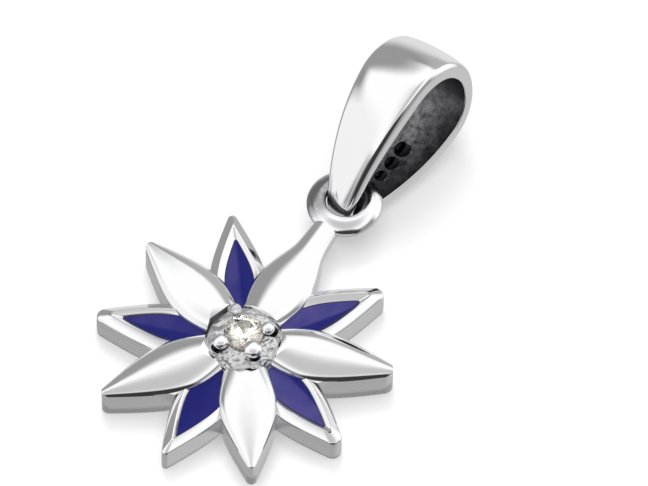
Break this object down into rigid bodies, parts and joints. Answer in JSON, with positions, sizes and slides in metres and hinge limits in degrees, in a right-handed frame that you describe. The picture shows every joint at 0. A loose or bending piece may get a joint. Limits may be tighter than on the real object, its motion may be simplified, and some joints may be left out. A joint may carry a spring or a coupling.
{
  "type": "star pendant",
  "caption": "Ten-pointed star pendant in polished white metal with royal blue enamel petals, a small clear stone in a prong setting, and a tapered teardrop bail, lying face up.",
  "frame": {"origin": "centre of the star's flat back, on the surface that the pendant lies on", "axes": "+Z out of the star's face, +Y from the star towards the bail"},
  "size_m": [0.0135, 0.0239, 0.0063],
  "materials": {
    "silver": "mirror polished white metal",
    "enamel": "glossy royal blue enamel",
    "stone": "faceted clear stone with a faint warm tint",
    "bail_silver": "mirror polished outside, darkened inside"
  },
  "bodies": {
    "root": {"star": "silver", "enamel_1": "enamel", "enamel_2": "enamel", "enamel_3": "enamel", "enamel_4": "enamel", "enamel_5": "enamel", "stone": "stone", "bail": "bail_silver"}
  },
  "joints": []
}
